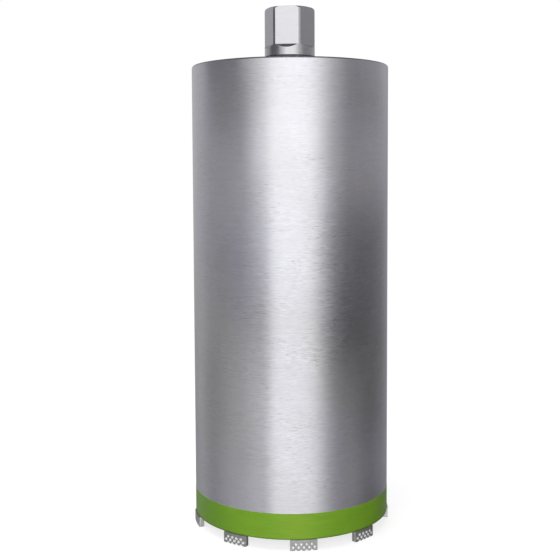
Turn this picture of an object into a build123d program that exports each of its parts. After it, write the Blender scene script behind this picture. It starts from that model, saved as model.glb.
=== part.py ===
from build123d import *
from math import degrees
import os

# Diamond core bit for wet drilling, standing on the tips of its segments.
# The origin is on the barrel's axis at the level of those tips, and +Z points up to the connector.
# Angles are measured about Z, and the side that faces -Y is the front.
front = -90.0

# Barrel tube, open at the bottom. The outside corner of its top end is ground off: a bevel whose two
# edges are broken in turn, so that it reads as round. A flat land is left on the rim.
tube_diameter = 180.0
tube_wall = 2.5
tube_length = 411.5
tube_corner = 1.8
tube_rim_land = 0.6
edge_break_share = 0.28

# Coat of paint round the lower end of the tube
band_height = 22.8
band_thickness = 0.1

# Diamond segments on the tube's lower edge, proud of its wall outside and inside
segment_length = 24.0
segment_height = 9.5
segment_outside_overhang = 1.0
segment_inside_overhang = 1.0
segment_corner_radius = 0.7

# Where the segments sit that the photo shows, from left to right. They are placed by hand, so their
# distances differ a little. The hidden ones fill the rest of the ring in even steps.
seen_segment_angles = (front - 75.3, front - 33.3, front + 6.7, front + 45.6, front + 91.7)
hidden_segment_count = 4

# Dimples pressed into the outside of each segment in staggered rows, counted from the tip up.
# The first row is so near the tip edge that it is cut open there. Each dimple is a six-sided pit,
# near enough to round at this size, and even ridges are left between them.
dimple_row_counts = (4, 5, 4)
dimple_first_height = 0.6
dimple_row_pitch = 2.7
dimple_end_distance = 2.8
dimple_diameter = 3.3
dimple_depth = 0.9
dimple_sides = 6

# Disc pressed into the top of the tube, flush with its end. Its joint is welded and ground flush.
plate_thickness = 8.0

# Connector, turned from round bar, with spanner flats milled in its upper part. Each flat ends in a
# small hollow and then a slope that runs out to the turned surface.
flat_count = 6
flat_across = 41.0
flat_depth = 2.5
flat_foot_height = 19.4
flat_runout_radius = 1.5
flat_runout_angle = 38.0
flat_first_angle = front - 7.4
hub_height = 52.7
hub_top_chamfer = 1.8

# Spigot under the connector, which sits in the hole of the disc
spigot_diameter = 34.0
spigot_chamfer = 0.8

# Female spindle thread 1 1/4 - 7 UNC, shown at its minor diameter, and the water bore under it,
# which leads down into the barrel
thread_minor_diameter = 28.0
thread_depth = 38.0
thread_mouth_chamfer = 2.4
water_bore_diameter = 18.0

# Weld round the foot of the connector
hub_weld_height = 9.2
hub_weld_width = 5.0

# Clearance between round faces that fit in or round each other, and how far cutters start outside
seat_gap = 0.05
cutter_reach = 0.5

# Radii and levels that follow from these sizes
tube_radius = tube_diameter / 2
bore_radius = tube_radius - tube_wall
tube_foot = segment_height
tube_top = tube_foot + tube_length
plate_radius = bore_radius - seat_gap
plate_foot = tube_top - plate_thickness
spigot_radius = spigot_diameter / 2
hub_radius = flat_across / 2 + flat_depth
hub_top = tube_top + hub_height


def save(piece, name):
    piece.label = name
    export_step(piece, f"parts/{name}.step")


os.makedirs("parts", exist_ok=True)

# Barrel tube
with BuildPart() as barrel_tube:
    with BuildSketch(Plane.XY.offset(tube_foot)):
        Circle(tube_radius)
        Circle(bore_radius, mode=Mode.SUBTRACT)
    extrude(amount=tube_length)
    rim_edges = barrel_tube.edges().group_by(Axis.Z)[-1]
    corner = min(tube_corner, tube_wall - tube_rim_land)
    edge_break = corner * edge_break_share
    chamfer(rim_edges.sort_by(SortBy.RADIUS)[-1], length=corner - edge_break)
    bevel_edges = barrel_tube.faces().filter_by(GeomType.CONE).edges().filter_by(GeomType.CIRCLE)
    chamfer(bevel_edges, length=edge_break)
save(barrel_tube.part, "barrel_tube")

# Marking band, the coat on the outside of the tube from its lower edge up
with BuildPart() as marking_band:
    with BuildSketch(Plane.XY.offset(tube_foot)):
        Circle(tube_radius + band_thickness)
        Circle(tube_radius, mode=Mode.SUBTRACT)
    extrude(amount=band_height)
save(marking_band.part, "marking_band")

# End plate
with BuildPart() as end_plate:
    with BuildSketch(Plane.XY.offset(plate_foot)):
        Circle(plate_radius)
        Circle(spigot_radius + seat_gap, mode=Mode.SUBTRACT)
    extrude(amount=plate_thickness)
save(end_plate.part, "end_plate")

# Path of the milling cutter for one spanner flat: a straight wall, then the run-out
flat_foot = tube_top + flat_foot_height
clear_height = hub_top + cutter_reach
with BuildPart() as flat_cut:
    with BuildSketch(Plane.XZ):
        with BuildLine():
            hollow_centre = (flat_across / 2 + flat_runout_radius, flat_foot)
            hollow = CenterArc(hollow_centre, flat_runout_radius, 180, flat_runout_angle)
            slope = PolarLine(
                hollow @ 1,
                flat_depth + cutter_reach,
                direction=hollow % 1,
                length_mode=LengthMode.HORIZONTAL,
            )
            Polyline(slope @ 1, ((slope @ 1).X, clear_height), ((hollow @ 0).X, clear_height), hollow @ 0)
        make_face()
    extrude(amount=hub_radius, both=True)

# Connector hub, turned to one profile with its spigot and stepped bore, then milled
thread_radius = thread_minor_diameter / 2
thread_end = hub_top - thread_depth
water_radius = water_bore_diameter / 2
with BuildPart() as connector_hub:
    with BuildSketch(Plane.XZ):
        with BuildLine():
            Polyline(
                (water_radius, plate_foot),
                (spigot_radius, plate_foot),
                (spigot_radius, tube_top),
                (hub_radius, tube_top),
                (hub_radius, hub_top),
                (thread_radius, hub_top),
                (thread_radius, thread_end),
                (water_radius, thread_end),
                (water_radius, plate_foot),
            )
        make_face()
    revolve(axis=Axis.Z)
    mouth_edge, side_edge = connector_hub.edges().group_by(Axis.Z)[-1].sort_by(SortBy.RADIUS)
    chamfer(mouth_edge, length=thread_mouth_chamfer)
    chamfer(side_edge, length=hub_top_chamfer)
    spigot_edges = connector_hub.edges().group_by(Axis.Z)[0]
    chamfer(spigot_edges.sort_by(SortBy.RADIUS)[-1], length=spigot_chamfer)
    with PolarLocations(0, flat_count, start_angle=flat_first_angle):
        add(flat_cut.part, mode=Mode.SUBTRACT)
save(connector_hub.part, "connector_hub")

# Hub weld bead, a ring of triangular section in the corner between the connector and the plate
with BuildPart() as hub_weld_bead:
    with BuildSketch(Plane.XZ):
        with BuildLine():
            root = (hub_radius + seat_gap, tube_top)
            plate_toe = (hub_radius + seat_gap + hub_weld_width, tube_top)
            hub_toe = (hub_radius + seat_gap, tube_top + hub_weld_height)
            Polyline(root, plate_toe, hub_toe, root)
        make_face()
    revolve(axis=Axis.Z)
save(hub_weld_bead.part, "hub_weld_bead")

# Diamond segment, an arc of a ring centred on +X with its tip corners rounded
segment_outer_radius = tube_radius + segment_outside_overhang
segment_inner_radius = bore_radius - segment_inside_overhang
segment_arc = degrees(segment_length / segment_outer_radius)
dimple_pitch = (segment_length - 2 * dimple_end_distance) / (max(dimple_row_counts) - 1)


def dimple_planes():
    """Planes at the points of the dimples, facing out, their x axis up so that a corner points up."""
    for row, count in enumerate(dimple_row_counts):
        for place in range(count):
            along = (place - (count - 1) / 2) * dimple_pitch
            radial = Vector(1, 0, 0).rotate(Axis.Z, degrees(along / segment_outer_radius))
            centre = radial * (segment_outer_radius - dimple_depth)
            centre += Vector(0, 0, dimple_first_height + row * dimple_row_pitch)
            yield Plane(centre, x_dir=Vector(0, 0, 1), z_dir=radial)


# Punch for one dimple, a pyramid on its point that widens to the dimple's size at the segment's face
punch_height = dimple_depth + cutter_reach
with BuildPart() as dimple_punch:
    with BuildSketch(Plane.XY.offset(punch_height)) as punch_top:
        RegularPolygon(dimple_diameter / 2 * punch_height / dimple_depth, dimple_sides)
    loft([Vertex(0, 0, 0), punch_top.sketch], ruled=True)

with BuildPart() as segment:
    with BuildSketch():
        with BuildLine():
            outside = CenterArc((0, 0), segment_outer_radius, -segment_arc / 2, segment_arc)
            inside = CenterArc((0, 0), segment_inner_radius, -segment_arc / 2, segment_arc)
            Line(outside @ 0, inside @ 0)
            Line(outside @ 1, inside @ 1)
        make_face()
    extrude(amount=segment_height)
    tip_edges = segment.edges().group_by(Axis.Z)[0]
    fillet(tip_edges.filter_by(GeomType.LINE), radius=segment_corner_radius)
    with Locations(*dimple_planes()):
        add(dimple_punch.part, mode=Mode.SUBTRACT)

# The segments round the tube's lower edge, first the seen ones and then the hidden ones
first_angle, last_angle = seen_segment_angles[0], seen_segment_angles[-1]
hidden_pitch = (360 - (last_angle - first_angle)) / (hidden_segment_count + 1)
hidden_angles = [last_angle + (place + 1) * hidden_pitch for place in range(hidden_segment_count)]
for number, angle in enumerate((*seen_segment_angles, *hidden_angles), start=1):
    save(segment.part.rotate(Axis.Z, angle), f"segment_{number:02d}")
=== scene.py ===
from math import acos, ceil, cos, pi, radians, sin, sqrt, tan, tau

import bmesh
import bpy
from mathutils import Matrix, Vector, noise

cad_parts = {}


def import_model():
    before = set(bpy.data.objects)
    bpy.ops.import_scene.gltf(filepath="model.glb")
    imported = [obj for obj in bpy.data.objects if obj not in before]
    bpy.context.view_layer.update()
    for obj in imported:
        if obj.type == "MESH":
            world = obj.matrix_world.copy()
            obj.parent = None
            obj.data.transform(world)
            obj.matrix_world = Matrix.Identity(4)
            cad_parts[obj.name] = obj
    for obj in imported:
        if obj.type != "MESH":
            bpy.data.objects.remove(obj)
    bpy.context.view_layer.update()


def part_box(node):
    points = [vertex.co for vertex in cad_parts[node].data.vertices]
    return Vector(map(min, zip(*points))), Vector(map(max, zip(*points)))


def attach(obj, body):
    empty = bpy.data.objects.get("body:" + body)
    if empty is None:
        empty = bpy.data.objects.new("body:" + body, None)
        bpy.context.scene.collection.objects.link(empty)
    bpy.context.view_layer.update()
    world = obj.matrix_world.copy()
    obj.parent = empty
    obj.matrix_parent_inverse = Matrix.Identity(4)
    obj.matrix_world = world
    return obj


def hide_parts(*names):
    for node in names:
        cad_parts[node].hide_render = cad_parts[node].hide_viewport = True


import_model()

# Diamond core bit on the tips of its segments, in metres. The front faces -Y.
MM = 0.001
FRONT = radians(-90)

# Levels and radii read from the frame
tube_low, tube_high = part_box("barrel_tube")
band_low, band_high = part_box("marking_band")
plate_low, plate_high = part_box("end_plate")
_, hub_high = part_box("connector_hub")
weld_low, weld_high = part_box("hub_weld_bead")
TUBE_RADIUS = (tube_high.x - tube_low.x) / 2
TUBE_FOOT, RIM = tube_low.z, tube_high.z
BAND_RADIUS = (band_high.x - band_low.x) / 2
BAND_TOP = band_high.z
PLATE_RADIUS = (plate_high.x - plate_low.x) / 2
PLATE_FOOT = plate_low.z
HUB_TOP = hub_high.z
WELD_RADIUS = (weld_high.x - weld_low.x) / 2
WELD_TOP = weld_high.z

# Sizes that the frame's boxes don't give
TUBE_WALL = 2.5 * MM
TUBE_CORNER = 2.0 * MM
SEAT_GAP = 0.05 * MM
EDGE_BREAK = 0.25 * MM
TURNED_STEPS = 512
CORNER_STEPS = 13

HUB_RADIUS = 23.0 * MM
HUB_CORNER = 2.5 * MM
HUB_EDGE_BLEND = 0.12 * MM
FLAT_COUNT = 6
FLAT_SECTOR = tau / FLAT_COUNT
FLAT_APOTHEM = 20.5 * MM
FLAT_FIRST = FRONT - radians(7.4)
FLAT_FOOT = RIM + 19.4 * MM
RUNOUT_RADIUS = 1.5 * MM
RUNOUT_SLOPE = radians(38)
SPIGOT_RADIUS = 17.0 * MM
SPIGOT_CHAMFER = 0.8 * MM
WATER_RADIUS = 9.0 * MM
THREAD_MINOR = 14.0 * MM
THREAD_MAJOR = 15.875 * MM
THREAD_PITCH = 25.4 / 7 * MM
THREAD_DEPTH = 38.0 * MM
THREAD_END = HUB_TOP - THREAD_DEPTH
THREAD_MOUTH = 2.4 * MM

# Angles of the segments that the front shows, in degrees from the front
SEEN_SEGMENTS = (-75.3, -33.3, 6.7, 45.6, 91.7)
HIDDEN_SEGMENTS = 4
SEGMENT_LENGTH = 24.0 * MM
SEGMENT_OUTER = TUBE_RADIUS + 1.0 * MM
SEGMENT_INNER = TUBE_RADIUS - TUBE_WALL - 1.0 * MM
SEGMENT_CORNER = 0.7 * MM
SEGMENT_EDGE = 0.18 * MM
DIMPLE_ROWS = (4, 5, 4)
DIMPLE_FIRST = 0.6 * MM
DIMPLE_ROW_PITCH = 2.7 * MM
DIMPLE_END = 2.8 * MM
DIMPLE_RADIUS = 1.65 * MM
DIMPLE_DEPTH = 0.75 * MM


def spread(start, end, count):
    """count values evenly spread from start to end, both included."""
    return [start + (end - start) * k / (count - 1) for k in range(count)]


def on_ring(r, angle, z):
    """The point at a distance from the axis, an angle about it and a level."""
    return r * cos(angle), r * sin(angle), z


def corner_arc(r, z, radius):
    """Points (r, z) of a rounded corner that turns from an upright side to a level top."""
    turns = spread(0, pi / 2, CORNER_STEPS)
    return [(r - radius + radius * cos(a), z - radius + radius * sin(a)) for a in turns]


def square(half_side, level):
    """The corners of a level square about the axis."""
    return [(x * half_side, y * half_side, level) for x, y in ((-1, -1), (1, -1), (1, 1), (-1, 1))]


def sheet_faces(rows, columns):
    """Quads of an open grid."""
    return [
        (start, start + 1, start + 1 + columns, start + columns)
        for row in range(rows - 1)
        for start in range(row * columns, (row + 1) * columns - 1)
    ]


def wrapped_faces(rows, columns):
    """Quads of a grid whose rows and columns both close on themselves."""
    faces = []
    for row in range(rows):
        below, above = row * columns, (row + 1) % rows * columns
        for column in range(columns):
            after = (column + 1) % columns
            faces.append((below + column, below + after, above + after, above + column))
    return faces


def revolve(profile):
    """Points and faces of a ring whose section is the closed profile of (r, z) points."""
    angles = [tau * step / TURNED_STEPS for step in range(TURNED_STEPS)]
    points = [on_ring(r, angle, z) for r, z in profile for angle in angles]
    return points, wrapped_faces(len(profile), TURNED_STEPS)


def make_piece(name, points, faces, material, slot, *nodes, crease=radians(32)):
    """A smooth-shaded mesh that rides on the part and stands for the CAD nodes named."""
    mesh = bpy.data.meshes.new(name)
    mesh.from_pydata(points, [], faces)
    work = bmesh.new()
    work.from_mesh(mesh)
    bmesh.ops.recalc_face_normals(work, faces=work.faces)
    work.to_mesh(mesh)
    work.free()
    mesh.shade_smooth()
    mesh.set_sharp_from_angle(angle=crease)
    mesh.materials.append(material)
    piece = bpy.data.objects.new(name, mesh)
    bpy.context.scene.collection.objects.link(piece)
    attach(piece, "root")
    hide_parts(*nodes)
    return piece


# How far a noise strays from its middle: one with fine detail, and a broad one
FINE, BROAD = 0.2, 0.15


class Nodes:
    """The node tree of a material or world, with short ways to add nodes and links."""

    def __init__(self, owner):
        owner.use_nodes = True
        self.owner = owner
        self.tree = owner.node_tree
        self.shader = self.tree.nodes.get("Principled BSDF")

    def add(self, kind, **settings):
        node = self.tree.nodes.new(kind)
        for key, value in settings.items():
            setattr(node, key, value)
        return node

    def link(self, source, target):
        self.tree.links.new(source, target)

    def feed(self, socket, value):
        """Give a socket a number, a colour or a link."""
        if isinstance(value, (int, float)):
            socket.default_value = value
        elif isinstance(value, tuple):
            socket.default_value = (*value, 1.0)
        else:
            self.link(value, socket)

    def math(self, operation, *values):
        node = self.add("ShaderNodeMath", operation=operation)
        for socket, value in zip(node.inputs, values):
            self.feed(socket, value)
        return node.outputs[0]

    def sum(self, total, *others):
        for other in others:
            total = self.math("ADD", total, other)
        return total

    def product(self, total, *others):
        for other in others:
            total = self.math("MULTIPLY", total, other)
        return total

    def mix(self, factor, first, second, blend="MIX"):
        node = self.add("ShaderNodeMix", data_type="RGBA", blend_type=blend)
        for number, value in ((0, factor), (6, first), (7, second)):
            self.feed(node.inputs[number], value)
        return node.outputs[2]

    def where(self):
        """The place on the part, in metres from its origin."""
        return self.add("ShaderNodeTexCoord").outputs["Object"]

    def position(self):
        """The place's x, y and z, then its distance from the axis."""
        split = self.add("ShaderNodeSeparateXYZ")
        self.link(self.where(), split.inputs[0])
        x, y, z = split.outputs
        return x, y, z, self.math("SQRT", self.sum(self.product(x, x), self.product(y, y)))

    def noise(self, vector, scale, detail):
        node = self.add("ShaderNodeTexNoise")
        node.inputs["Scale"].default_value = scale
        node.inputs["Detail"].default_value = detail
        self.link(vector, node.inputs["Vector"])
        return node.outputs["Fac"]

    def streaks(self, along, across, detail=2.0, rings=True, shift=0.0):
        """Noise drawn out round the axis: along and across are its sizes in metres.

        With rings it also changes with the distance from the axis, as on a faced disc.
        """
        x, y, z, r = self.position()
        level = self.sum(z, r) if rings else z
        place = self.add("ShaderNodeCombineXYZ")
        self.link(self.product(x, 1 / along), place.inputs[0])
        self.link(self.product(y, 1 / along), place.inputs[1])
        self.link(self.sum(self.product(level, 1 / across), shift), place.inputs[2])
        return self.noise(place.outputs[0], 1.0, detail)

    def patch(self, radius, azimuth, level, width, height):
        """One in the middle of a soft-edged patch on a cylinder, nought outside it."""
        offset = self.add("ShaderNodeVectorMath", operation="SUBTRACT")
        self.link(self.where(), offset.inputs[0])
        offset.inputs[1].default_value = on_ring(radius, FRONT + radians(azimuth), level)
        scaled = self.add("ShaderNodeVectorMath", operation="MULTIPLY")
        self.link(offset.outputs[0], scaled.inputs[0])
        scaled.inputs[1].default_value = (1 / width, 1 / width, 1 / height)
        distance = self.add("ShaderNodeVectorMath", operation="LENGTH")
        self.link(scaled.outputs[0], distance.inputs[0])
        fade = self.add("ShaderNodeMapRange", interpolation_type="SMOOTHSTEP")
        self.link(distance.outputs["Value"], fade.inputs["Value"])
        fade.inputs["To Min"].default_value = 1.0
        fade.inputs["To Max"].default_value = 0.0
        return fade.outputs[0]

    def remap(self, value, low, high, to_low, to_high):
        """The value held between low and high and stretched to the new limits."""
        node = self.add("ShaderNodeMapRange", clamp=True)
        self.link(value, node.inputs["Value"])
        for socket, number in zip(list(node.inputs)[1:5], (low, high, to_low, to_high)):
            socket.default_value = number
        return node.outputs[0]

    def vary(self, noise_value, to_low, to_high, reach=FINE):
        """A noise that strays this far from its middle, stretched to the new limits."""
        return self.remap(noise_value, 0.5 - reach, 0.5 + reach, to_low, to_high)

    def metal(self, anisotropy=0.0):
        """Make the shader a metal. Brush marks round the axis draw its highlights out along it."""
        inputs = self.shader.inputs
        inputs["Metallic"].default_value = 1.0
        if anisotropy:
            inputs["Anisotropic"].default_value = anisotropy
            inputs["Anisotropic Rotation"].default_value = 0.25
            tangent = self.add("ShaderNodeTangent", direction_type="RADIAL", axis="Z")
            self.link(tangent.outputs[0], inputs["Tangent"])

    def finish(self, tint, tone, roughness, relief, relief_depth):
        """Link the shader's colour, roughness and relief, and give the material back."""
        grey = self.add("ShaderNodeCombineColor")
        for socket in grey.inputs[:3]:
            self.link(tone, socket)
        bump = self.add("ShaderNodeBump")
        bump.inputs["Distance"].default_value = relief_depth
        self.link(relief, bump.inputs["Height"])
        inputs = self.shader.inputs
        self.link(self.mix(1.0, tint, grey.outputs[0], "MULTIPLY"), inputs["Base Color"])
        self.link(roughness, inputs["Roughness"])
        self.link(bump.outputs[0], inputs["Normal"])
        return self.owner

    def show(self, surface):
        """Take another surface in place of the shader."""
        self.tree.nodes.remove(self.shader)
        self.link(surface, self.tree.nodes["Material Output"].inputs["Surface"])


# Cloudy marks on the barrel, partly the steel's own patches and partly painted highlight and
# painted shade. Each makes the steel lighter, or darker where it is below nought, by
# this share in its middle: strength, angle from the front, level, width and height
BARREL_CLOUDS_AND_PAINTED_LIGHT = (
    (-0.16, 40, 0.215, 0.060, 0.150),
    (0.12, -33, 0.080, 0.070, 0.110),
    (0.10, 36, 0.050, 0.060, 0.070),
    (-0.07, -42, 0.380, 0.060, 0.050),
    (0.07, -48, 0.330, 0.060, 0.080),
    (-0.15, 31, 0.215, 0.040, 0.110),
    (0.20, 55, 0.100, 0.050, 0.100),
    (0.32, 46, 0.325, 0.050, 0.070),
    (-0.16, 34, 0.185, 0.035, 0.060),
    (0.06, 10, 0.345, 0.035, 0.090),
    (-0.10, -16, 0.195, 0.020, 0.080),
    (-0.06, 0, 0.180, 0.060, 0.090),
    (0.08, -36, 0.310, 0.050, 0.070),
    (0.12, -16, 0.350, 0.022, 0.065),
    (0.34, 58, 0.060, 0.050, 0.055),
)
# Places where the steel is more neutral or bluer: strength, tint, then the place as above
BARREL_TINTS = (
    (1.0, (0.616, 0.617, 0.602), (-52, 0.15, 0.085, 0.16)),
    (0.9, (0.616, 0.617, 0.606), (44, 0.15, 0.070, 0.07)),
    (0.9, (0.54, 0.535, 0.60), (-25, 0.243, 0.036, 0.08)),
)
# Place in front where the brush marks are painted stronger, a painted highlight where the light
# falls, written as those above
BARREL_PAINTED_HIGHLIGHT_MARKS = (3, 0.19, 0.065, 0.30)


def barrel_steel():
    """Steel brushed round its girth: short fine lines, darker scratches and cloudy patches, partly
    painted light and shade, with brush marks painted stronger in front where the highlight falls
    and painted shade on the top corner.
    """
    steel, cool_steel = (0.62, 0.616, 0.64), (0.612, 0.61, 0.65)
    # Painted shade: the steel is painted darker on its rounded top corner and rim
    corner_start, corner_end, corner_painted_shade = RIM - 1.7 * MM, RIM - 1.0 * MM, 0.5
    nodes = Nodes(bpy.data.materials.new("barrel_steel"))
    nodes.metal(anisotropy=0.7)
    fine = nodes.streaks(5 * MM, 0.5 * MM)
    middle = nodes.streaks(8 * MM, 0.9 * MM, detail=3, shift=31.0)
    coarse = nodes.streaks(26 * MM, 3 * MM, shift=77.0)
    scratches = nodes.streaks(6 * MM, 0.8 * MM, detail=1, shift=5.0)
    cloud = nodes.streaks(40 * MM, 60 * MM, detail=3, rings=False, shift=13.0)
    uneven = nodes.streaks(32 * MM, 26 * MM, rings=False, shift=51.0)
    # Brush marks, painted stronger in front where the highlight falls
    brush_marks = nodes.product(
        nodes.sum(
            nodes.vary(fine, -0.045, 0.045),
            nodes.vary(middle, -0.052, 0.052),
            nodes.remap(scratches, 0.64, 0.73, 0.0, -0.13),
        ),
        nodes.vary(uneven, 0.5, 1.5, reach=0.14),
        nodes.remap(nodes.patch(TUBE_RADIUS, *BARREL_PAINTED_HIGHLIGHT_MARKS), 0.0, 1.0, 0.85, 1.85),
    )
    tone = nodes.sum(
        brush_marks,
        nodes.vary(coarse, -0.02, 0.02, BROAD),
        nodes.vary(cloud, -0.04, 0.04, BROAD),
        1.0,
    )
    # Cloudy patches, partly painted highlight and painted shade
    for strength, *place in BARREL_CLOUDS_AND_PAINTED_LIGHT:
        tone = nodes.sum(tone, nodes.product(nodes.patch(TUBE_RADIUS, *place), strength))
    level = nodes.position()[2]
    # Painted shade on the rounded top corner and the rim
    tone = nodes.product(tone, nodes.remap(level, corner_start, corner_end, 1.0, corner_painted_shade))
    tint = nodes.mix(nodes.remap(cloud, 0.4, 0.62, 0.0, 1.0), steel, cool_steel)
    for strength, stain, place in BARREL_TINTS:
        tint = nodes.mix(nodes.product(nodes.patch(TUBE_RADIUS, *place), strength), tint, stain)
    relief = nodes.sum(fine, nodes.product(middle, 1.6))
    return nodes.finish(tint, tone, nodes.vary(middle, 0.32, 0.40), relief, 0.012 * MM)


def plate_steel():
    """Faced steel with rings left by the lathe, tinted straw and blue round the weld."""
    steel, straw, blue = (0.58, 0.58, 0.59), (0.50, 0.40, 0.27), (0.20, 0.22, 0.30)
    straw_start, straw_end = WELD_RADIUS + 1 * MM, WELD_RADIUS + 7 * MM
    blue_start, blue_end = WELD_RADIUS, WELD_RADIUS + 3 * MM
    nodes = Nodes(bpy.data.materials.new("plate_steel"))
    nodes.metal(anisotropy=0.6)
    radius = nodes.position()[3]
    rings = nodes.streaks(60 * MM, 0.4 * MM, detail=3)
    broad = nodes.streaks(90 * MM, 3 * MM, shift=9.0)
    tone = nodes.sum(nodes.vary(rings, 0.92, 1.05), nodes.vary(broad, -0.04, 0.04, BROAD))
    near_straw = nodes.product(nodes.remap(radius, straw_start, straw_end, 1.0, 0.0), 0.55)
    near_blue = nodes.product(nodes.remap(radius, blue_start, blue_end, 1.0, 0.0), 0.6)
    tint = nodes.mix(near_blue, nodes.mix(near_straw, steel, straw), blue)
    return nodes.finish(tint, tone, nodes.vary(broad, 0.36, 0.48), rings, 0.01 * MM)


def hub_steel():
    """Bright turned and milled steel, smoother than the barrel."""
    steel = (0.492, 0.492, 0.512)
    nodes = Nodes(bpy.data.materials.new("hub_steel"))
    nodes.metal(anisotropy=0.5)
    fine = nodes.streaks(12 * MM, 0.25 * MM, rings=False)
    cloud = nodes.streaks(14 * MM, 9 * MM, rings=False, shift=3.0)
    tone = nodes.sum(nodes.vary(fine, 0.96, 1.04), nodes.vary(cloud, -0.03, 0.03, BROAD))
    return nodes.finish(steel, tone, nodes.vary(cloud, 0.24, 0.32), fine, 0.003 * MM)


def weld_steel():
    """Weld metal, dulled, very dark, with paler patches and fine spots."""
    dark, pale = (0.085, 0.082, 0.080), (0.135, 0.132, 0.130)
    nodes = Nodes(bpy.data.materials.new("weld_steel"))
    nodes.metal()
    where = nodes.where()
    spots = nodes.noise(where, 900.0, detail=4)
    broad = nodes.noise(where, 160.0, detail=3)
    tint = nodes.mix(nodes.vary(broad, 0.0, 1.0, BROAD), dark, pale)
    tone = nodes.vary(spots, 0.8, 1.12)
    return nodes.finish(tint, tone, nodes.vary(spots, 0.5, 0.66), spots, 0.03 * MM)


# Painted light and shade on the paint: painted shade at the left, a paler, more yellow painted
# highlight in front: angle from the front and width, then the tint
BAND_PAINTED_LIGHT = (
    ((-55, 0.055), (0.118, 0.265, 0.008)),
    ((3, 0.027), (0.182, 0.345, 0.006)),
)
# Height of those places, more than the band's, so that each reaches from its foot to its top
BAND_LIGHT_PATCH_HEIGHT = 0.1


def band_green():
    """Thin satin paint that shows the brush marks under it, with painted shade along its lower edge
    and painted light and shade in places.
    """
    green, pale_green = (0.146, 0.315, 0.006), (0.164, 0.335, 0.008)
    # Painted shade along the lower edge, where the band meets the segments
    edge_shade_start, edge_shade_end, edge_shade_tone = TUBE_FOOT + 0.3 * MM, TUBE_FOOT + 1.5 * MM, 0.5
    nodes = Nodes(bpy.data.materials.new("band_green"))
    marks = nodes.streaks(16 * MM, 0.6 * MM, detail=3, rings=False)
    cloud = nodes.streaks(30 * MM, 6 * MM, rings=False, shift=21.0)
    tint = nodes.mix(nodes.vary(cloud, 0.0, 1.0, BROAD), green, pale_green)
    # Painted shade at the left and a painted highlight in front
    for (azimuth, width), paint in BAND_PAINTED_LIGHT:
        place = nodes.patch(BAND_RADIUS, azimuth, TUBE_FOOT, width, BAND_LIGHT_PATCH_HEIGHT)
        tint = nodes.mix(place, tint, paint)
    # Painted shade, darker towards the lower edge
    lower_edge_shade = nodes.remap(nodes.position()[2], edge_shade_start, edge_shade_end, edge_shade_tone, 1.0)
    tone = nodes.product(nodes.vary(marks, 0.93, 1.07), lower_edge_shade)
    return nodes.finish(tint, tone, nodes.vary(marks, 0.30, 0.42), marks, 0.004 * MM)


def segment_matrix():
    """Sintered metal speckled with grit. Its dulled face is paler and less metallic in the dimples:
    partly stone dust, partly painted highlight.
    """
    dark, pale, grit_tint = (0.50, 0.50, 0.495), (0.60, 0.60, 0.595), (0.36, 0.36, 0.33)
    dimple_start, dimple_end = SEGMENT_OUTER - 0.7 * MM, SEGMENT_OUTER - 0.05 * MM
    ledge_start, ledge_end = TUBE_FOOT - 0.5 * MM, TUBE_FOOT - 0.3 * MM
    behind_start, behind_end = SEGMENT_OUTER - 1.0 * MM, SEGMENT_OUTER - 0.8 * MM
    nodes = Nodes(bpy.data.materials.new("segment_matrix"))
    nodes.metal()
    where = nodes.where()
    grain = nodes.noise(where, 2600.0, detail=3)
    patches = nodes.noise(where, 300.0, detail=3)
    cells = nodes.add("ShaderNodeTexVoronoi", feature="F1")
    cells.inputs["Scale"].default_value = 1500.0
    nodes.link(where, cells.inputs["Vector"])
    grit = nodes.remap(cells.outputs["Distance"], 0.10, 0.24, 1.0, 0.0)
    tint = nodes.mix(nodes.vary(patches, 0.0, 1.0, BROAD), dark, pale)
    tint = nodes.mix(nodes.product(grit, 0.5), tint, grit_tint)
    _, _, z, radius = nodes.position()
    # The dimples are painted paler and less metallic: partly stone dust, partly painted highlight
    sunk = nodes.product(
        nodes.remap(radius, dimple_start, dimple_end, 1.0, 0.0),
        nodes.remap(z, ledge_start, ledge_end, 1.0, 0.0),
    )
    behind = nodes.remap(radius, behind_start, behind_end, 1.0, 0.0)
    tone = nodes.product(
        nodes.vary(grain, 0.86, 1.12),
        nodes.remap(sunk, 0.0, 1.0, 0.80, 1.55),
        nodes.remap(behind, 0.0, 1.0, 1.0, 0.72),
    )
    bare = nodes.math("MAXIMUM", nodes.remap(sunk, 0.08, 0.69, 1.0, 0.35), behind)
    nodes.link(bare, nodes.shader.inputs["Metallic"])
    relief = nodes.sum(grain, nodes.product(grit, 0.8))
    return nodes.finish(tint, tone, nodes.vary(grain, 0.42, 0.6), relief, 0.03 * MM)


def barrel():
    """The tube, its top corner rounded and its other edges broken."""
    bore = TUBE_RADIUS - TUBE_WALL
    rim_break = 0.1 * MM
    profile = [
        (bore, TUBE_FOOT + EDGE_BREAK),
        (bore + EDGE_BREAK, TUBE_FOOT),
        (TUBE_RADIUS - EDGE_BREAK, TUBE_FOOT),
        (TUBE_RADIUS, TUBE_FOOT + EDGE_BREAK),
        (TUBE_RADIUS, BAND_TOP),
        *corner_arc(TUBE_RADIUS, RIM, TUBE_CORNER),
        (bore + rim_break, RIM),
        (bore, RIM - rim_break),
    ]
    make_piece("barrel", *revolve(profile), barrel_steel(), "barrel_steel", "barrel_tube")


def paint_band():
    """The coat of paint, a skin with soft edges."""
    edge = (BAND_RADIUS - TUBE_RADIUS) / 2
    profile = [
        (TUBE_RADIUS, TUBE_FOOT),
        (BAND_RADIUS - edge, TUBE_FOOT),
        (BAND_RADIUS, TUBE_FOOT + edge),
        (BAND_RADIUS, BAND_TOP - 2 * edge),
        (BAND_RADIUS - edge, BAND_TOP - edge / 2),
        (TUBE_RADIUS, BAND_TOP),
    ]
    make_piece("paint_band", *revolve(profile), band_green(), "band_green", "marking_band")


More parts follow.
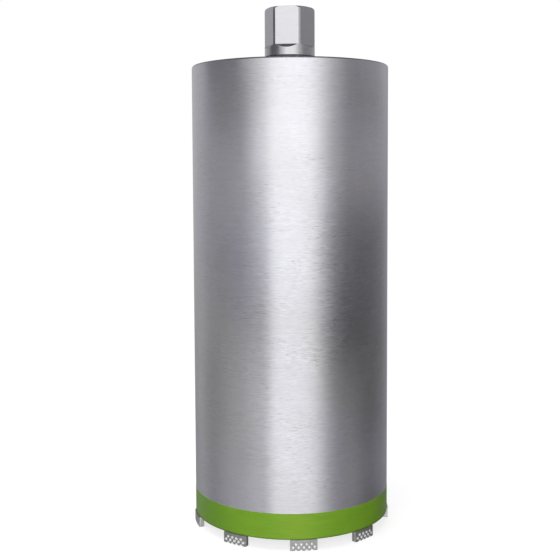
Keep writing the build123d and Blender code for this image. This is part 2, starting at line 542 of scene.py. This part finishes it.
def top_plate():
    """The disc in the tube's top, its joint a fine line."""
    hole = SPIGOT_RADIUS + SEAT_GAP
    joint_break = 0.12 * MM
    outer_ring, ring_count = PLATE_RADIUS - 6 * MM, 6
    profile = [
        (hole, PLATE_FOOT),
        (PLATE_RADIUS - EDGE_BREAK, PLATE_FOOT),
        (PLATE_RADIUS, PLATE_FOOT + EDGE_BREAK),
        (PLATE_RADIUS, RIM - joint_break),
        (PLATE_RADIUS - joint_break, RIM),
        *((r, RIM) for r in spread(outer_ring, hole, ring_count)),
    ]
    make_piece("top_plate", *revolve(profile), plate_steel(), "plate_steel", "end_plate")


# Columns of the hub's grid in one sixth: those on a flat and those on the land beside it
FLAT_COLUMNS = 16
LAND_COLUMNS = 16
EVEN_HALF_WIDTH = pi / FLAT_COUNT * FLAT_COLUMNS / (FLAT_COLUMNS + LAND_COLUMNS)
LEAST_HALF_WIDTH = radians(2)


def hub_angles(half_width):
    """Angles of one row of the hub's grid, where each flat reaches half_width to each side."""
    on_flat = spread(-half_width, half_width, FLAT_COLUMNS + 1)[:-1]
    on_land = spread(half_width, FLAT_SECTOR - half_width, LAND_COLUMNS + 1)[:-1]
    middles = [FLAT_FIRST + flat * FLAT_SECTOR for flat in range(FLAT_COUNT)]
    return [middle + a for middle in middles for a in (*on_flat, *on_land)]


def turned_row(r, z, half_width=EVEN_HALF_WIDTH):
    """A round row of the hub's grid."""
    return [on_ring(r, angle, z) for angle in hub_angles(half_width)]


def milled_row(turned_radius, apothem, z):
    """A row where flats at this distance cut the turned radius, with soft edges between them."""
    half_width = acos(min(1.0, apothem / turned_radius))
    row = []
    for number, angle in enumerate(hub_angles(max(half_width, LEAST_HALF_WIDTH))):
        flat = number // (FLAT_COLUMNS + LAND_COLUMNS)
        off = angle - FLAT_FIRST - flat * FLAT_SECTOR
        off = min(off, FLAT_SECTOR - off, key=abs)
        wall = apothem / cos(off)
        blend = max(HUB_EDGE_BLEND - abs(wall - turned_radius), 0) / HUB_EDGE_BLEND
        r = min(wall, turned_radius) - blend * blend * HUB_EDGE_BLEND / 4
        row.append(on_ring(r, angle, z))
    return row


def runout_rows():
    """Rows over the run-outs of the flats: a slope from the turned surface, then a hollow."""
    slope_steps, hollow_steps = 15, 8
    hollow = RUNOUT_RADIUS * (1 - cos(RUNOUT_SLOPE))
    hollow_drop = RUNOUT_RADIUS * sin(RUNOUT_SLOPE)
    slope_gain = HUB_RADIUS - FLAT_APOTHEM - hollow
    slope_drop = slope_gain / tan(RUNOUT_SLOPE)
    rows = []
    for share in spread(1, 0, slope_steps)[:-1]:
        apothem = FLAT_APOTHEM + hollow + slope_gain * share
        rows.append(milled_row(HUB_RADIUS, apothem, FLAT_FOOT - hollow_drop - slope_drop * share))
    for turn in spread(RUNOUT_SLOPE, 0, hollow_steps):
        apothem = FLAT_APOTHEM + RUNOUT_RADIUS * (1 - cos(turn))
        rows.append(milled_row(HUB_RADIUS, apothem, FLAT_FOOT - RUNOUT_RADIUS * sin(turn)))
    return rows


def thread_rows():
    """Rows down the bore: a right-hand helix of 60 degree vees, and the chamfer of its mouth."""
    rows_per_pitch = 20
    # Shares of the pitch: the flat crest, and each flank up to the thread's full depth
    crest, flank = 0.25, 0.3125
    # Height over which the thread fades out at its lower end
    fade = 1.5 * THREAD_PITCH
    angles = hub_angles(EVEN_HALF_WIDTH)
    rows = []
    for z in spread(HUB_TOP, THREAD_END, ceil(THREAD_DEPTH / THREAD_PITCH * rows_per_pitch)):
        lead = min(1.0, (z - THREAD_END) / fade)
        chamfer = THREAD_MINOR + THREAD_MOUTH - (HUB_TOP - z)
        row = []
        for angle in angles:
            phase = ((z - THREAD_END) / THREAD_PITCH - angle / tau) % 1
            into = min(phase - crest, 1 - phase) if phase > crest else 0
            depth = (THREAD_MAJOR - THREAD_MINOR) * min(into / flank, 1) * lead
            row.append(on_ring(max(THREAD_MINOR + depth, chamfer), angle, z))
        rows.append(row)
    return rows


def hub():
    """The connector: spigot, round foot, milled flats and run-outs, rounded top, threaded bore."""
    foot_rows, wall_rows = 14, 5
    foot_gap = 0.4 * MM
    mouth_land = 1.5 * MM
    runout = runout_rows()
    runout_foot = runout[0][0][2]
    foot_levels = spread(RIM, runout_foot - foot_gap, foot_rows)
    foot_widths = spread(EVEN_HALF_WIDTH, LEAST_HALF_WIDTH, foot_rows)
    wall_levels = spread(FLAT_FOOT, HUB_TOP - HUB_CORNER, wall_rows)[1:-1]
    corner = corner_arc(HUB_RADIUS, HUB_TOP, HUB_CORNER)
    rows = [
        turned_row(WATER_RADIUS + EDGE_BREAK, PLATE_FOOT),
        turned_row(SPIGOT_RADIUS - SPIGOT_CHAMFER, PLATE_FOOT),
        turned_row(SPIGOT_RADIUS, PLATE_FOOT + SPIGOT_CHAMFER),
        turned_row(SPIGOT_RADIUS, RIM),
        *(turned_row(HUB_RADIUS, z, width) for z, width in zip(foot_levels, foot_widths)),
        *runout,
        *(milled_row(HUB_RADIUS, FLAT_APOTHEM, z) for z in wall_levels),
        *(milled_row(r, FLAT_APOTHEM, z) for r, z in corner),
        turned_row(THREAD_MINOR + THREAD_MOUTH + mouth_land, HUB_TOP),
        *thread_rows(),
        turned_row(WATER_RADIUS + EDGE_BREAK, THREAD_END),
        turned_row(WATER_RADIUS, THREAD_END - EDGE_BREAK),
        turned_row(WATER_RADIUS, PLATE_FOOT + EDGE_BREAK),
    ]
    points = [point for row in rows for point in row]
    faces = wrapped_faces(len(rows), len(rows[0]))
    piece = make_piece(
        "hub", points, faces, hub_steel(), "hub_steel", "connector_hub", crease=radians(40)
    )
    keep_flat = piece.modifiers.new("keep_flat", "WEIGHTED_NORMAL")
    keep_flat.keep_sharp = True


def hub_weld():
    """The weld at the hub's foot: a hollow bead with ripples that lean the way it was laid."""
    rows, ripple_count, steps_per_ripple = 15, 84, 8
    columns = ripple_count * steps_per_ripple
    ripple_height, ripple_power, ripple_lean = 0.13 * MM, 0.6, 2.2
    uneven_height, uneven_scale = 0.12 * MM, 9.0
    rise_slope = 0.7
    # Middle point of the curve that gives the bead its hollow, as shares of its width and height
    hollow_out, hollow_up = 0.12, 0.16
    root = HUB_RADIUS + SEAT_GAP
    width, height = WELD_RADIUS - root, WELD_TOP - RIM
    points = []
    for row in range(rows):
        t = row / (rows - 1)
        bend = 2 * t * (1 - t)
        r = root + width * ((1 - t) ** 2 + bend * hollow_out)
        z = RIM + height * (t ** 2 + bend * hollow_up)
        lean = ripple_lean * (t - 0.5) ** 2
        for column in range(columns):
            angle = tau * column / columns
            wave = 0.5 + 0.5 * cos(tau * (ripple_count * angle / tau + lean))
            uneven = noise.noise(Vector((cos(angle), sin(angle), t)) * uneven_scale)
            rise = ripple_height * wave ** ripple_power + uneven_height * uneven
            rise *= sin(pi * t) * rise_slope
            points.append(on_ring(r + rise, angle, z + rise))
    points += [on_ring(root, tau * column / columns, RIM) for column in range(columns)]
    faces = wrapped_faces(rows + 1, columns)
    make_piece(
        "hub_weld", points, faces, weld_steel(), "weld_steel", "hub_weld_bead", crease=radians(60)
    )


def dimple_centres():
    """Places (along, height) of the dimples on a segment's outside."""
    pitch = (SEGMENT_LENGTH - 2 * DIMPLE_END) / (max(DIMPLE_ROWS) - 1)
    return [
        ((place - (count - 1) / 2) * pitch, DIMPLE_FIRST + row * DIMPLE_ROW_PITCH)
        for row, count in enumerate(DIMPLE_ROWS)
        for place in range(count)
    ]


def dimple_depth(along, height, centres):
    """How deep the outside is pressed in at a place. Each dimple is a round hollow."""
    nearest = min(sqrt((along - u) ** 2 + (height - z) ** 2) for u, z in centres)
    t = nearest / DIMPLE_RADIUS
    return DIMPLE_DEPTH * max(0.0, 1 - t * t)


def segment_shell():
    """Points in the segment's own box, (along, share of the wall, height), and its faces."""
    along_cells, wall_cells, height_cells = 132, 6, 50
    half, top = SEGMENT_LENGTH / 2, TUBE_FOOT
    ids, points, faces = {}, [], []

    def corner(i, j, k):
        key = (i, j, k)
        if key not in ids:
            ids[key] = len(points)
            along = (2 * i / along_cells - 1) * half
            points.append((along, j / wall_cells, k / height_cells * top))
        return ids[key]

    def sheet(count_a, count_b, place):
        for a in range(count_a):
            for b in range(count_b):
                around = ((a, b), (a + 1, b), (a + 1, b + 1), (a, b + 1))
                faces.append([corner(*place(*at)) for at in around])

    for j in (0, wall_cells):
        sheet(along_cells, height_cells, lambda a, b, j=j: (a, j, b))
    for k in (0, height_cells):
        sheet(along_cells, wall_cells, lambda a, b, k=k: (a, b, k))
    for i in (0, along_cells):
        sheet(wall_cells, height_cells, lambda a, b, i=i: (i, a, b))
    return points, faces


def rounded(value, low, high, radius):
    """The nearest value that lies radius inside both limits."""
    return min(max(value, low + radius), high - radius)


def shape_segment(box_points):
    """The box's points with soft edges, rounded tip corners and dimples: (along, out, height)."""
    wall = SEGMENT_OUTER - SEGMENT_INNER
    half, edge = SEGMENT_LENGTH / 2, SEGMENT_EDGE
    centres = dimple_centres()
    shaped = []
    for along, share, height in box_points:
        inset = 0.0
        if height < SEGMENT_CORNER:
            inset = SEGMENT_CORNER - sqrt(SEGMENT_CORNER ** 2 - (SEGMENT_CORNER - height) ** 2)
        along *= (half - inset) / half
        place = Vector((along, share * wall, height))
        core = Vector((
            rounded(place.x, -half + inset, half - inset, edge),
            rounded(place.y, 0, wall, edge),
            max(place.z, edge),
        ))
        away = place - core
        if away.length > edge:
            place = core + away.normalized() * edge
        place.y *= (wall - dimple_depth(along, height, centres)) / wall
        shaped.append(place)
    return shaped


def segment_angles():
    """Angles of the segments from the front: the seen ones, then the hidden ones in even steps."""
    last = SEEN_SEGMENTS[-1]
    pitch = (360 - (last - SEEN_SEGMENTS[0])) / (HIDDEN_SEGMENTS + 1)
    return [*SEEN_SEGMENTS, *(last + (place + 1) * pitch for place in range(HIDDEN_SEGMENTS))]


def segments():
    """The diamond segments, one form bent round the axis at each of their places."""
    box_points, faces = segment_shell()
    shaped = shape_segment(box_points)
    material = segment_matrix()
    for number, azimuth in enumerate(segment_angles(), start=1):
        middle = FRONT + radians(azimuth)
        points = [
            on_ring(SEGMENT_INNER + place.y, middle + place.x / SEGMENT_OUTER, place.z)
            for place in shaped
        ]
        name = f"segment_{number:02d}"
        make_piece(
            f"dimpled_{name}", points, faces, material, "segment_matrix", name, crease=radians(50)
        )


# Studio. Reflectors stand all round out of the camera's sight and show only in reflections.
# Angles are counted from the front, right positive, and heights from the horizon, in degrees.
REFLECTOR_RADIUS = 3.0
REFLECTOR_LEVEL = 0.3
# Light that comes from each side: angle, light
SURROUND = (
    (-172, 0.62), (-150, 0.57), (-128, 0.47), (-104, 0.33), (-80, 0.30), (-56, 0.34), (36, 0.24),
    (62, 0.09), (84, 0.09), (108, 0.12), (130, 0.18), (152, 0.32), (172, 0.48),
)
# Cards before it, brighter or darker: added light, angle and softness of the left edge and of the
# right edge, then lowest and highest height
CARDS = (
    (1.16, (-24, 3), (34, 14), (-90, 90)),
    (0.10, (-24, 6), (34, 10), (-3, 90)),
    (0.06, (-50, 10), (-24, 3), (-90, 90)),
    (0.80, (-41, 14), (-24, 3), (3, 90)),
    (0.07, (-130, 20), (-45, 10), (1, 90)),
    (0.12, (-50, 8), (-28, 5), (-3, 8)),
    (0.32, (-88, 18), (-26, 5), (-90, -14)),
    (0.10, (-54, 6), (-30, 6), (-90, -14)),
    (0.62, (34, 8), (56, 14), (3, 90)),
    (0.28, (52, 10), (150, 16), (2, 90)),
    (0.32, (38, 10), (88, 18), (-90, -15)),
    (-0.20, (-190, 2), (-140, 8), (-90, -8)),
    (-0.30, (-190, 2), (-146, 8), (20, 90)),
    (-0.20, (125, 8), (190, 2), (26, 90)),
)
CARD_SOFTNESS = 7
# Share of the light at each height
HIGH_LIGHT = ((-80, 0.32), (-45, 0.42), (-26, 0.85), (0, 1.0), (14, 1.15), (38, 1.1), (60, 0.5))
# Lights between which the tint changes, and the tints at both
DIM_TO_BRIGHT = ((0.3, 0.3, 0.3), (0.9, 0.9, 0.9), (1.01, 0.99, 1.05), (1.0, 1.0, 1.0))


def interpolate(table, value):
    """The table's value at a place, along a smooth step between its entries."""
    for (x0, y0), (x1, y1) in zip(table, table[1:]):
        if value <= x1:
            t = max(0.0, (value - x0) / (x1 - x0))
            return y0 + (y1 - y0) * t * t * (3 - 2 * t)
    return table[-1][1]


def between(value, low, low_softness, high, high_softness):
    """One between two soft edges, nought beyond them."""
    rise = interpolate(((low - low_softness, 0), (low + low_softness, 1)), value)
    fall = interpolate(((high - high_softness, 1), (high + high_softness, 0)), value)
    return rise * fall


def reflected_light(azimuth, height):
    """The light that the reflector gives at an angle and a height."""
    light = interpolate(SURROUND, azimuth)
    for strength, left, right, (low, high) in CARDS:
        strength *= between(azimuth, *left, *right)
        light += strength * between(height, low, CARD_SOFTNESS, high, CARD_SOFTNESS)
    return light * interpolate(HIGH_LIGHT, height)


def reflector():
    """A part of a sphere round the bit, open behind it and above."""
    rows, columns = 29, 173
    azimuths = spread(SURROUND[0][0], SURROUND[-1][0], columns)
    heights = spread(HIGH_LIGHT[0][0], HIGH_LIGHT[-1][0], rows)
    points, lights = [], []
    for height in heights:
        r = REFLECTOR_RADIUS * cos(radians(height))
        z = REFLECTOR_LEVEL + REFLECTOR_RADIUS * sin(radians(height))
        points += [on_ring(r, FRONT + radians(azimuth), z) for azimuth in azimuths]
        lights += [reflected_light(azimuth, height) for azimuth in azimuths]
    stage_light("reflector", points, sheet_faces(rows, columns), lights)


def hub_flag():
    """A small card to the left of the connector, dark at its foot."""
    radius, left, right, columns = 0.3, -98, -50, 13
    low, high, high_light = 0.45, 0.56, 0.26
    angles = [FRONT + radians(azimuth) for azimuth in spread(left, right, columns)]
    points = [on_ring(radius, angle, z) for z in (low, high) for angle in angles]
    lights = [0.0] * columns + [high_light] * columns
    stage_light("hub_flag", points, sheet_faces(2, columns), lights)


def ceiling():
    """A dim panel overhead."""
    half_side, level, light = 1.5, 3.2, 0.10
    stage_light("ceiling", square(half_side, level), [(0, 1, 2, 3)], [light] * 4)


def stage_light(name, points, faces, lights):
    """A glowing sheet that only a reflection sees, a little cooler where it is dim."""
    mesh = bpy.data.meshes.new(name)
    mesh.from_pydata(points, [], faces)
    mesh.attributes.new("light", "FLOAT", "POINT").data.foreach_set("value", lights)
    nodes = Nodes(bpy.data.materials.new(name))
    light = nodes.add("ShaderNodeAttribute", attribute_name="light").outputs["Fac"]
    tint = nodes.add("ShaderNodeMapRange", data_type="FLOAT_VECTOR")
    nodes.link(light, tint.inputs["Vector"])
    for socket, values in zip(list(tint.inputs)[7:11], DIM_TO_BRIGHT):
        socket.default_value = values
    glow = nodes.add("ShaderNodeEmission")
    nodes.link(tint.outputs["Vector"], glow.inputs["Color"])
    nodes.link(light, glow.inputs["Strength"])
    nodes.show(glow.outputs[0])
    mesh.materials.append(nodes.owner)
    panel = bpy.data.objects.new(name, mesh)
    bpy.context.scene.collection.objects.link(panel)
    for ray in ("camera", "diffuse", "transmission", "volume_scatter", "shadow"):
        setattr(panel, f"visible_{ray}", False)


def world():
    """White wherever the camera, a reflection or glass sees it, and a softer light for the rest."""
    fill_light = 0.36
    sky = bpy.data.worlds.new("studio")
    bpy.context.scene.world = sky
    nodes = Nodes(sky)
    rays = nodes.add("ShaderNodeLightPath").outputs
    seen = nodes.math("MAXIMUM", rays["Is Camera Ray"], rays["Is Glossy Ray"])
    seen = nodes.math("MAXIMUM", seen, rays["Is Transmission Ray"])
    background = nodes.tree.nodes["Background"]
    background.inputs["Color"].default_value = (1, 1, 1, 1)
    nodes.link(nodes.remap(seen, 0.0, 1.0, fill_light, 1.0), background.inputs["Strength"])


# Lamps: name, place, the point that each is aimed at, and power
LAMP_SIZE = 1.6
LAMPS = (
    ("front_light", (-0.25, -2.2, 0.9), (0, 0, 0.2), 38),
    ("top_light", (-0.6, -0.3, 2.4), (0, 0, 0.1), 26),
    ("back_light", (0.2, 2.2, 0.9), (0, 0, 0.2), 24),
)


def lamps():
    """Square lamps with no reflection of their own, since the reflectors stand for them there."""
    for name, place, aim, power in LAMPS:
        data = bpy.data.lights.new(name, "AREA")
        data.shape = "SQUARE"
        data.size = LAMP_SIZE
        data.energy = power
        lamp = bpy.data.objects.new(name, data)
        lamp.location = place
        lamp.rotation_euler = (Vector(aim) - Vector(place)).to_track_quat("-Z", "Y").to_euler()
        lamp.visible_glossy = False
        bpy.context.scene.collection.objects.link(lamp)


def floor():
    """A pale floor that the camera sees as white, with the bit's shadow on it."""
    half_side = 6.0
    shadow_start, shadow_end = 0.25, 0.75
    floor_grey, glow_grey = (0.32, 0.32, 0.32, 1), (0.76, 0.76, 0.76, 1)
    mesh = bpy.data.meshes.new("floor")
    mesh.from_pydata(square(half_side, 0), [], [(0, 1, 2, 3)])
    nodes = Nodes(bpy.data.materials.new("floor"))
    seen = nodes.add("ShaderNodeLightPath").outputs["Is Camera Ray"]
    diffuse = nodes.add("ShaderNodeBsdfDiffuse")
    diffuse.inputs["Color"].default_value = floor_grey
    glow = nodes.add("ShaderNodeEmission")
    glow.inputs["Color"].default_value = glow_grey
    nodes.link(seen, glow.inputs["Strength"])
    near = nodes.add("ShaderNodeAddShader")
    nodes.link(diffuse.outputs[0], near.inputs[0])
    nodes.link(glow.outputs[0], near.inputs[1])
    white = nodes.add("ShaderNodeEmission")
    away = nodes.remap(nodes.position()[3], shadow_start, shadow_end, 0.0, 1.0)
    blend = nodes.add("ShaderNodeMixShader")
    nodes.link(nodes.product(away, seen), blend.inputs[0])
    nodes.link(near.outputs[0], blend.inputs[1])
    nodes.link(white.outputs[0], blend.inputs[2])
    nodes.show(blend.outputs[0])
    mesh.materials.append(nodes.owner)
    plane = bpy.data.objects.new("floor", mesh)
    plane.visible_glossy = False
    bpy.context.scene.collection.objects.link(plane)


def camera():
    """The photograph's camera: in front, under the rim's level, looking slightly down."""
    picture = 560
    focal_pixels = 977.32
    shift_pixels = -40.0
    place = Vector((0, -908.98, 326.45)) * MM
    pitch, roll, yaw = radians(4.0904), radians(-0.2512), radians(-0.6116)
    ahead = Vector((sin(yaw) * cos(pitch), cos(yaw) * cos(pitch), -sin(pitch)))
    level = Vector((cos(yaw), -sin(yaw), 0))
    upright = level.cross(ahead)
    right = level * cos(roll) + upright * sin(roll)
    up = upright * cos(roll) - level * sin(roll)
    data = bpy.data.cameras.new("camera")
    data.lens = data.sensor_width * focal_pixels / picture
    data.shift_y = shift_pixels / picture
    view = bpy.data.objects.new("camera", data)
    turn = Matrix((right, up, -ahead)).transposed().to_4x4()
    view.matrix_world = Matrix.Translation(place) @ turn
    bpy.context.scene.collection.objects.link(view)
    bpy.context.scene.camera = view


barrel()
paint_band()
top_plate()
hub()
hub_weld()
segments()

world()
floor()
reflector()
hub_flag()
ceiling()
lamps()
camera()
bpy.context.scene.view_settings.view_transform = "Standard"
